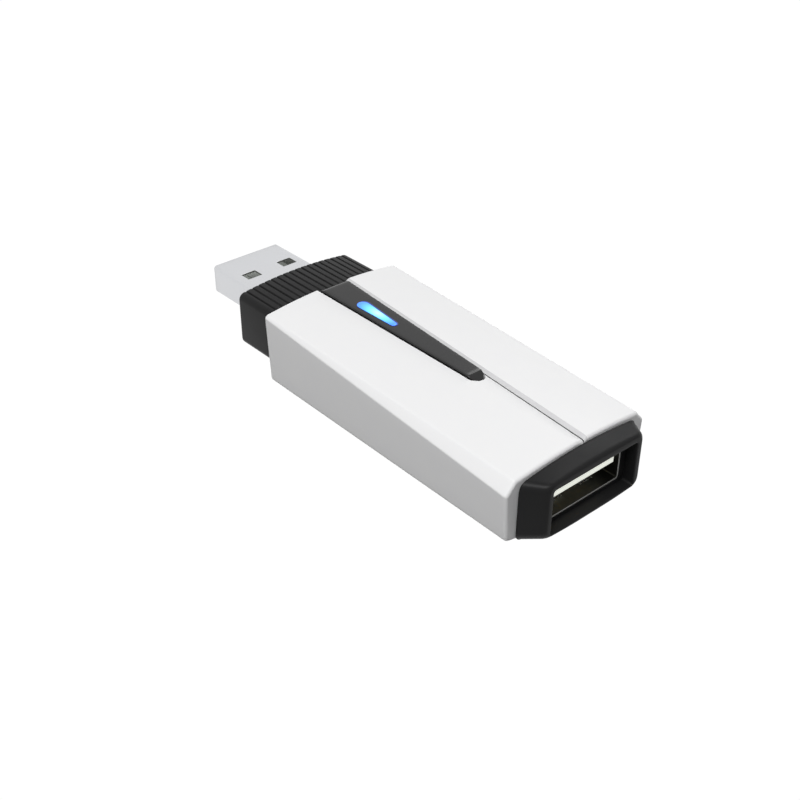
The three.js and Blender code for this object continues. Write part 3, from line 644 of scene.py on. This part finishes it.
def window_layers():
    """The window as rings: up its wall, over a small round edge, and in to a point on its middle line,
    swelling a little there."""
    rings = []
    for a, depth in [(0.0, window_depth), (0.0, 0.0), (0.5, 0.0), (1.0, 0.0), (math.pi / 2, 0.0)]:
        ring = window_outline(window_edge * (1 - math.cos(a)))
        height = tongue_height(ring[:, 0]) + window_proud + window_edge_rise * math.sin(a) - depth
        rings.append(np.concatenate([ring, height[:, None]], 1))
    edge = window_outline(window_rim) - np.array([0, window_lean])
    rim = tongue_height(edge[:, 0]) + window_proud + window_edge_rise
    rings.append(np.concatenate([edge, rim[:, None]], 1))
    x0, x1 = window_front + window_front_radius, window_rear - window_rear_radius
    spine_x = np.clip(edge[:, 0], x0, x1)
    spine = np.stack([spine_x, tongue_middle(spine_x)[0] + window_shift - window_lean], 1)
    for share in (0.15, 0.3, 0.5, 0.75, 1.0):
        ring = between(edge, spine, share)
        swell = window_swell * math.sin(share * math.pi / 2)
        height = tongue_height(ring[:, 0]) + window_proud + window_edge_rise + swell
        rings.append(np.concatenate([ring, height[:, None]], 1))
    return np.stack(rings)


# Lit acrylic: almost white over the middle of the guide, through cyan to blue at the ends.
lit_acrylic = finish("lit_blue_acrylic", "#2f6fd8", Roughness=0.18, IOR=1.49, Emission_Strength=1.0)
# The glow fades to blue this many millimetres along and across the drop.
glow_length = 10 / 3
glow_width = 5 / 3
per_length = 1000 / glow_length
per_width = 1000 / glow_width
place = node(lit_acrylic, "ShaderNodeTexCoord").outputs["Object"]
glow_x = between(window_front, window_rear, 0.5)
glow_y = tongue_middle(np.array([glow_x]))[0][0] + window_shift
centre_x = collar_front + glow_x / 1000
centre_y = glow_y / 1000
shift = node(
    lit_acrylic,
    "ShaderNodeMapping",
    {"Location": (-centre_x * per_length, -centre_y * per_width, 0.0), "Scale": (per_length, per_width, 0.0)},
    Vector=place,
)
spot = node(lit_acrylic, "ShaderNodeVectorMath", {"operation": "LENGTH"}, in_0=shift.outputs["Vector"])
glow = node(lit_acrylic, "ShaderNodeValToRGB", (), Fac=spot.outputs["Value"])
ramp = glow.color_ramp
ramp.elements[0].position = 0.0
ramp.elements[0].color = colour("#dcfdff")
ramp.elements[1].position = 1.0
ramp.elements[1].color = colour("#4a8cff")
ramp.elements.new(0.5).color = colour("#7cecff")
feed(lit_acrylic, "Emission Color", glow.outputs["Color"])
# The drop's own rim, past the edge of the light guide: painted shade in navy, with a faint painted glow.
rim_painted_shade_and_glow = finish(
    "blue_acrylic_rim_painted_shade_and_glow",
    "#0c1f5c",
    Roughness=0.25,
    IOR=1.49,
    Emission_Color=colour("#1f3fb4"),
    Emission_Strength=0.4,
)

window_rings = window_layers()
# The window's wall and rim take the navy painted shade and glow, its top inside the rim the lit acrylic.
moulded_piece(
    "lit_window",
    [lit_acrylic, rim_painted_shade_and_glow],
    [(window_rings[:6], False, True, 1), (window_rings[5:], False, True, 0)],
    [(window_rings[0], 1)],
    "light_window",
)

# ---------------------------------------------------------------------------------------------------
# End bezel
# A black ABS frame round the socket's mouth: it tapers outwards from the shells to a flat face, and its
# mouth is a recess with the socket's opening in its floor.
# ---------------------------------------------------------------------------------------------------

body_end = (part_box("end_bezel")[1].x - collar_front) * 1000
socket_inner_width = 12.5
socket_inner_height = 5.12
socket_sheet = 0.3
socket_drop = 1.64
socket_mouth = (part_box("socket_shell")[1].x - collar_front) * 1000
recess = 1.6
bezel_round = 0.7
bezel_round_in = 0.35
mouth_round = 0.15
bezel_neck = 0.6
neck_step = 0.8
bezel_gap = 0.05
lead_in = 0.12
taper_start = 0.06
passage_foot = 3.0
passage_corner = 0.5
recess_draft = 0.15
socket_gap = 0.04
# Each outline is its half width, top, crown, bottom, rise, foot and corner, as bezel_ring takes them.
# The draw is what an inset of 1 mm takes from each.
bezel_base = np.array([10.45, 2.92, 0.8, -bottom_depth + 0.25, 0.35, 3.6, 1.3])
bezel_face = np.array([8.55, 2.6, 0.15, -5.75, 0.3, 2.2, 1.2])
bezel_mouth = np.array([7.55, 1.4, 0.0, -5.15, 0.0, 3.0, 0.5])
draw = np.array([1, 1, 0, -1, 0, 0, 0])


def bezel_ring(x, half, top, crown, bottom, rise, foot, corner):
    """A closed ring round the bezel at x: an arched top, rounded shoulders, straight sides, rounded heels
    and an arched bottom, mirrored from the right half."""
    shoulder = np.array([[half, top - crown]])
    heel = np.array([[half, bottom + rise]])
    y = np.linspace(0, half - corner, 30)
    roof = np.stack([y, top - crown * (y / half) ** 2], 1)
    low_y = np.linspace(half - corner, 0, 30)
    lift = np.clip((low_y - foot) / (half - foot), 0, None) ** 2 * rise
    low = np.stack([low_y, bottom + lift], 1)
    side = np.array([[half, top - crown - corner], [half, bottom + rise + corner]])
    upper = bend(roof[-1:], shoulder, side[:1], 11)[0]
    lower = bend(side[1:], heel, low[:1], 11)[0]
    right = np.concatenate([roof[:-1], upper, lower, low[1:]])
    ring = np.concatenate([right, right[-2:0:-1] * np.array([-1, 1])])
    return np.concatenate([np.full((len(ring), 1), x), ring], 1)


def bezel_band():
    """The bezel as a closed band of rings: from its neck out to its base, along the taper, round the front
    edge, across the face, down into the recess, and back through the socket's opening."""
    x0 = shell_rear + bezel_gap
    neck = bezel_base - neck_step * draw
    rings = [bezel_ring(shell_rear - bezel_neck, *neck), bezel_ring(x0, *neck)]
    rings.append(bezel_ring(x0, *(bezel_base - lead_in * draw)))
    rings.append(bezel_ring(x0 + lead_in, *bezel_base))
    for share in np.linspace(taper_start, 1, 12):
        x = between(x0, body_end - bezel_round, share)
        rings.append(bezel_ring(x, *between(bezel_base, bezel_face, (x - x0) / (body_end - x0))))
    for a in np.linspace(0, math.pi / 2, 8)[1:]:
        x = body_end - bezel_round * (1 - math.sin(a))
        taper = between(bezel_base, bezel_face, (x - x0) / (body_end - x0))
        rings.append(bezel_ring(x, *(taper - bezel_round_in * (1 - math.cos(a)) * draw)))
    for a in np.linspace(0, math.pi / 2, 6):
        x = body_end - mouth_round * (1 - math.cos(a))
        rings.append(bezel_ring(x, *(bezel_mouth + mouth_round * (1 - math.sin(a)) * draw)))
    rings.append(bezel_ring(body_end - recess, *(bezel_mouth - recess_draft * draw)))
    passage = (
        socket_inner_width / 2 + socket_sheet + socket_gap,
        -socket_drop + socket_inner_height / 2 + socket_sheet + socket_gap,
        0.0,
        -socket_drop - socket_inner_height / 2 - socket_sheet - socket_gap,
        0.0,
        passage_foot,
        passage_corner,
    )
    rings.append(bezel_ring(body_end - recess, *passage))
    rings.append(bezel_ring(shell_rear - bezel_neck, *passage))
    return np.stack(rings)


moulded_piece(
    "bezel_moulding", [black_abs], [(bezel_band(), True, True, 0)], [], "end_bezel"
)

# ---------------------------------------------------------------------------------------------------
# Plug shell
# A folded and pressed sheet of nickel-plated steel, 0.3 mm thick, with two latch windows in its top and
# two in its bottom.
# ---------------------------------------------------------------------------------------------------

plug_reach = 12.4
plug_back = 5.0
plug_front_line = -10.0
plug_root_line = -2.0
plug_sheet = 0.3
plug_corner = 0.5
window_from = 5.2
window_long = 1.9
window_inner = 2.03
window_outer = 4.5
plug_face_above = 2.0
sheet_edge = 0.06
edge_angle = 40.0
tube_corner_steps = 7
tube_side_lines = 7

# Bright nickel plate on drawn steel: a soft mirror, faintly cool, with a fine grain.
nickel_plate = finish("nickel_plated_steel", "#d1d2d4", Metallic=1.0, Roughness=0.32)
grain(nickel_plate, size=0.5, depth=0.0006, roughness=0.32, spread=0.04, tint="#cccdd0")
# The inner face of the same sheet in the socket, which lies in deep shade: painted shade makes it darker, and
# it is duller.
socket_inner_painted_shade = finish("socket_inner_face_painted_shade", "#2c2c2a", Metallic=1.0, Roughness=0.45)
grain(socket_inner_painted_shade, size=0.35, depth=0.002, roughness=0.45, spread=0.06, tint="#262622")
# The plug's inner face, seen through its latch windows and its mouth: painted shade makes it darker than the
# outside but paler than the socket's, and it is dull.
plug_inner_painted_shade = finish("plug_inner_face_painted_shade", "#9c9d9b", Metallic=1.0, Roughness=0.5)
grain(plug_inner_painted_shade, size=0.35, depth=0.002, roughness=0.5, spread=0.06, tint="#929390")
# Its cut edge: bare drawn steel, a little greyer than the plate.
cut_edge = finish("sheared_steel_edge", "#8e8e8c", Metallic=1.0, Roughness=0.5)
grain(cut_edge, size=0.2, depth=0.002, roughness=0.5, spread=0.06, tint="#828280")


def tube_ring(width, height, corner, lines):
    """A closed rounded rectangle as (y, z): each flat side is cut at the given lines, and each corner is a
    quarter circle."""
    half, tall = width / 2, height / 2
    flat = np.array(sorted({*lines, *(-v for v in lines), -(half - corner), half - corner}))
    upright = np.linspace(-(tall - corner), tall - corner, tube_side_lines)
    arc = np.linspace(0, math.pi / 2, tube_corner_steps)[1:-1]
    top = np.stack([flat, np.full(flat.size, tall)], 1)
    right = np.stack([np.full(upright.size, half), upright[::-1]], 1)
    shoulder = np.stack([half - corner + corner * np.sin(arc), tall - corner + corner * np.cos(arc)], 1)
    heel = np.stack([half - corner + corner * np.cos(arc), -(tall - corner) - corner * np.sin(arc)], 1)
    quarter = np.concatenate([top, shoulder, right, heel])
    return np.concatenate([quarter, -quarter])


def sheet_tube(name, materials, stations, ring, middle, thickness, open_at, stands_for):
    """A folded tube: the ring at each station, less the cells whose middle lies in an opening, thickened
    inwards and given small rounded edges."""
    points = np.empty((len(stations), len(ring), 3))
    points[..., 0] = np.array(stations)[:, None]
    points[..., 1:] = ring + np.array([0, middle])
    faces = grid_faces(*points.shape[:2], 0, False, True)
    flat = points.reshape(-1, 3)
    cells = flat[faces].mean(1)
    faces = faces[~open_at(cells)]
    placed = flat / 1000 + np.array([collar_front, 0, plug_axis])
    mesh = bpy.data.meshes.new(name)
    mesh.from_pydata(placed.tolist(), [], faces.tolist())
    shape = bmesh.new()
    shape.from_mesh(mesh)
    bmesh.ops.delete(shape, geom=[v for v in shape.verts if not v.link_faces], context="VERTS")
    bmesh.ops.recalc_face_normals(shape, faces=shape.faces)
    shape.to_mesh(mesh)
    shape.free()
    normals = np.empty(len(mesh.polygons) * 3)
    centres = np.empty(len(mesh.polygons) * 3)
    mesh.polygons.foreach_get("normal", normals)
    mesh.polygons.foreach_get("center", centres)
    out = centres.reshape(-1, 3) - np.array([0, 0, plug_axis + middle / 1000])
    if (normals.reshape(-1, 3)[:, 1:] * out[:, 1:]).sum() < 0:
        mesh.flip_normals()
    mesh.shade_smooth()
    for material in materials:
        mesh.materials.append(material)
    made = bpy.data.objects.new(name, mesh)
    bpy.context.scene.collection.objects.link(made)
    wall = made.modifiers.new("sheet", "SOLIDIFY")
    wall.thickness = thickness / 1000
    wall.offset = -1.0
    # The inside takes the second material, the painted shade of the inner face, and the cut rim the third.
    wall.material_offset = 1
    wall.material_offset_rim = 2
    edges = made.modifiers.new("edges", "BEVEL")
    edges.width = sheet_edge / 1000
    edges.segments = 2
    edges.limit_method = "ANGLE"
    edges.angle_limit = math.radians(edge_angle)
    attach(made, "adapter")
    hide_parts(stands_for)


def in_latch_window(cells):
    """True for the cells inside the four latch windows."""
    from_tip = cells[:, 0] + plug_reach
    across = np.abs(cells[:, 1])
    along_window = (from_tip > window_from) & (from_tip < window_from + window_long)
    across_window = (across > window_inner) & (across < window_outer)
    return along_window & across_window & (np.abs(cells[:, 2]) > plug_face_above)


plug_stations = [
    -plug_reach,
    plug_front_line,
    window_from - plug_reach,
    window_from + window_long - plug_reach,
    plug_root_line,
    plug_back,
]
sheet_tube(
    "plug_sleeve",
    [nickel_plate, plug_inner_painted_shade, cut_edge],
    plug_stations,
    tube_ring(plug_width, plug_height, plug_corner, [window_inner, window_outer, 0.0]),
    0.0,
    plug_sheet,
    in_latch_window,
    "plug_shell",
)

# ---------------------------------------------------------------------------------------------------
# Socket shell
# The same plated sheet folded into a wider box, with spring fingers cut in its top and bottom.
# ---------------------------------------------------------------------------------------------------

finger_from = 2.0
finger_long = 5.5
finger_half = 0.8
finger_slot = 0.3
finger_middle = 2.8
socket_face_above = 2.4
socket_corner = 0.5
socket_bend_line = 10.0
socket_depth = 14.0


def in_finger_slot(cells):
    """True for the cells in the U-shaped slots that free each spring finger on three sides."""
    back = socket_mouth - cells[:, 0]
    across = np.abs(np.abs(cells[:, 1]) - finger_middle)
    beside = (across > finger_half) & (across < finger_half + finger_slot)
    ahead = (across < finger_half + finger_slot) & (back < finger_from + finger_slot)
    along_slot = (back > finger_from) & (back < finger_from + finger_long)
    on_face = np.abs(cells[:, 2] + socket_drop) > socket_face_above
    return (beside | ahead) & along_slot & on_face


finger_lines = [
    0.0,
    finger_middle - finger_half - finger_slot,
    finger_middle - finger_half,
    finger_middle + finger_half,
    finger_middle + finger_half + finger_slot,
]
socket_stations = [
    socket_mouth,
    socket_mouth - finger_from,
    socket_mouth - finger_from - finger_slot,
    socket_mouth - finger_from - finger_long,
    socket_mouth - socket_bend_line,
    socket_mouth - socket_depth,
]
socket_outer_width = socket_inner_width + 2 * socket_sheet
socket_outer_height = socket_inner_height + 2 * socket_sheet
sheet_tube(
    "socket_sleeve",
    [nickel_plate, socket_inner_painted_shade, cut_edge],
    socket_stations,
    tube_ring(socket_outer_width, socket_outer_height, socket_corner, finger_lines),
    -socket_drop,
    socket_sheet,
    in_finger_slot,
    "socket_shell",
)

# ---------------------------------------------------------------------------------------------------
# Insulators, contacts and the board inside
# Moulded nylon blocks carry gilt contacts at both ends, and the board between them carries the radio.
# Their shapes are the imported solids, which take their own finishes here.
# ---------------------------------------------------------------------------------------------------

# Nylon of the socket's tongue, with a painted glow: a little emission keeps it bright in the socket's dark
# mouth.
socket_tongue_painted_glow = finish(
    "nylon_tongue_painted_glow",
    "#f7f9f0",
    IOR=1.53,
    Emission_Color=colour("#f6f9ee"),
    Emission_Strength=0.75,
)
grain(socket_tongue_painted_glow, 0.3, 0.004, 0.5, 0.06, "#f2f4ea")
# Nylon of the plug's own tongue, seen through the latch windows: mid grey there, with a weaker painted glow
# from emission.
plug_tongue_painted_glow = finish(
    "nylon_plug_tongue_painted_glow",
    "#d8dad6",
    IOR=1.53,
    Emission_Color=colour("#c9cfc9"),
    Emission_Strength=0.2,
)
grain(plug_tongue_painted_glow, 0.3, 0.004, 0.5, 0.06, "#cdd0cb")
# Tin plated over nickel on bronze strip: silver grey, softly bright.
tin_plate = grain(finish("tin_plated_bronze", "#a9aca8", Metallic=0.9), 0.25, 0.002, 0.4, 0.05, "#9c9f9b")
# Gold flashed over nickel on bronze strip: yellow, with a fine grain.
gold_flash = grain(finish("gold_flashed_bronze", "#dcb766", Metallic=1.0), 0.25, 0.002, 0.27, 0.05, "#cfa854")
# Epoxy glass board under green solder mask: glossy and slightly mottled.
solder_mask = finish("green_solder_mask", "#1e5b3b", IOR=1.5, Coat_Weight=0.4, Coat_Roughness=0.2)
grain(solder_mask, 0.6, 0.008, 0.38, 0.08, "#17492f")
# Transfer-moulded epoxy: near black, matt and slightly sandy.
chip_epoxy = grain(finish("moulded_chip_epoxy", "#1c1c1e", IOR=1.55), 0.12, 0.006, 0.6, 0.06, "#232325")
# Pressed ferrite: charcoal, dull and granular.
ferrite = grain(finish("pressed_ferrite", "#2b2b2d", IOR=1.6), 0.15, 0.008, 0.7, 0.06, "#353538")
# Tinned steel can: grey, with a soft sheen.
tinned_can = grain(finish("tinned_steel_can", "#b9bcbf", Metallic=1.0), 0.4, 0.003, 0.38, 0.08, "#adb0b4")
# Fired alumina: ivory, dense and matt.
alumina = grain(finish("fired_alumina", "#e6e2d4", IOR=1.6), 0.2, 0.004, 0.55, 0.06, "#dcd7c6")
# Fired barium titanate of a chip capacitor: tan, fine and matt.
titanate = grain(finish("barium_titanate", "#a8865c", IOR=1.6), 0.15, 0.004, 0.55, 0.06, "#9a7850")
# Glassed resistor film: black and slightly glossy.
resistor_glass = grain(finish("resistor_glass", "#202020", IOR=1.5), 0.2, 0.003, 0.35, 0.06, "#2a2a2a")
# Phosphor in clear resin on a small lamp: milky and slightly glossy.
lamp_resin = grain(finish("lamp_resin", "#f2f6ff", IOR=1.5), 0.2, 0.003, 0.35, 0.05, "#e4ecfb")

finishes = {
    "plug_insulator": plug_tongue_painted_glow,
    "socket_insulator": socket_tongue_painted_glow,
    "circuit_board": solder_mask,
    "board_tray": black_abs,
    "status_led": lamp_resin,
    "usb_hub_chip": chip_epoxy,
    "radio_chip": chip_epoxy,
    "voltage_regulator": chip_epoxy,
    "power_inductor": ferrite,
    "crystal": tinned_can,
    "radio_shield_can": tinned_can,
    "chip_antenna": alumina,
}
for number in range(1, 5):
    finishes[f"plug_contact_{number}"] = tin_plate
    finishes[f"socket_contact_{number}"] = gold_flash
    finishes[f"socket_pin_{number}"] = gold_flash
    finishes[f"capacitor_{number}"] = titanate
for number in range(1, 3):
    finishes[f"resistor_{number}"] = resistor_glass
for name, material in finishes.items():
    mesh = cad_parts[name].data
    mesh.materials.clear()
    mesh.materials.append(material)

# ---------------------------------------------------------------------------------------------------
# Floor, light and camera
# A plain white floor that is bright by itself, a soft sky, a broad lamp overhead, a fill on the far side,
# a small one behind that shows only in reflections, and a weak one below for the underside.
# ---------------------------------------------------------------------------------------------------

floor_half = 3.0
floor_drop = 0.0002
floor_glow = 1.02
floor_corners = [
    (-floor_half, -floor_half, 0),
    (floor_half, -floor_half, 0),
    (floor_half, floor_half, 0),
    (-floor_half, floor_half, 0),
]
floor_mesh = bpy.data.meshes.new("floor")
floor_mesh.from_pydata(floor_corners, [], [(0, 1, 2, 3)])
floor = bpy.data.objects.new("floor", floor_mesh)
bpy.context.scene.collection.objects.link(floor)
floor.location.z = -floor_drop
floor.visible_diffuse = False
floor.visible_shadow = False
floor_white = bpy.data.materials.new("white_floor")
floor_white.use_nodes = True
floor_white.node_tree.nodes.clear()
glow_node = node(floor_white, "ShaderNodeEmission", {"Color": (1, 1, 1, 1), "Strength": floor_glow})
clear_node = node(floor_white, "ShaderNodeBsdfTransparent")
side_node = node(floor_white, "ShaderNodeNewGeometry")
mix_node = node(
    floor_white,
    "ShaderNodeMixShader",
    (),
    in_0=side_node.outputs["Backfacing"],
    in_1=glow_node.outputs["Emission"],
    in_2=clear_node.outputs["BSDF"],
)
node(floor_white, "ShaderNodeOutputMaterial", (), Surface=mix_node.outputs["Shader"])
floor_mesh.materials.append(floor_white)

sky_seen = 1.0
sky_lit = 0.05
sky = bpy.data.worlds.new("sky")
sky.use_nodes = True
background = sky.node_tree.nodes["Background"]
background.inputs["Color"].default_value = (1, 1, 1, 1)
rays = node(sky, "ShaderNodeLightPath")
strengths = {"To Min": sky_seen, "To Max": sky_lit}
level = node(sky, "ShaderNodeMapRange", strengths, Value=rays.outputs["Is Diffuse Ray"])
sky.node_tree.links.new(level.outputs["Result"], background.inputs["Strength"])
bpy.context.scene.world = sky
bpy.context.scene.view_settings.view_transform = "Standard"


def lamp(name, place, width, height, power):
    """A rectangular area lamp at a place in metres that faces the origin."""
    data = bpy.data.lights.new(name, "AREA")
    data.shape = "RECTANGLE"
    data.size = width
    data.size_y = height
    data.energy = power
    made = bpy.data.objects.new(name, data)
    made.location = place
    lean = math.atan2(math.hypot(place[0], place[1]), place[2])
    heading = math.atan2(place[1], place[0]) + math.pi / 2
    made.rotation_euler = (lean, 0, heading)
    bpy.context.scene.collection.objects.link(made)
    return made


lamp("overhead", (0.16, -0.35, 0.70), 0.45, 0.45, 6.8)
fill = lamp("far_side", (-0.15, 0.75, 0.14), 0.5, 0.2, 2.3)
fill.visible_glossy = False
behind = lamp("behind", (-0.21, 0.476, 0.469), 0.2, 0.2, 0.5)
behind.visible_diffuse = False
lamp("below", (0.0, 0.0, -0.5), 0.3, 0.3, 1.0)

camera_place = (0.10629, -0.09349, 0.09311)
camera_forward = (-0.6261, 0.5530, -0.5497)
camera_roll = 0.243
camera_lens = 53.9
sensor_width = 36.0
camera_data = bpy.data.cameras.new("camera")
camera_data.lens = camera_lens
camera_data.sensor_width = sensor_width
camera_data.clip_start = 0.005
camera_data.clip_end = 20.0
camera = bpy.data.objects.new("camera", camera_data)
camera.location = camera_place
pitch = math.acos(-camera_forward[2])
heading = math.atan2(-camera_forward[0], camera_forward[1])
roll = Matrix.Rotation(math.radians(camera_roll), 4, "Z")
turned = Matrix.Rotation(heading, 4, "Z") @ Matrix.Rotation(pitch, 4, "X") @ roll
camera.rotation_euler = turned.to_euler()
bpy.context.scene.collection.objects.link(camera)
bpy.context.scene.camera = camera
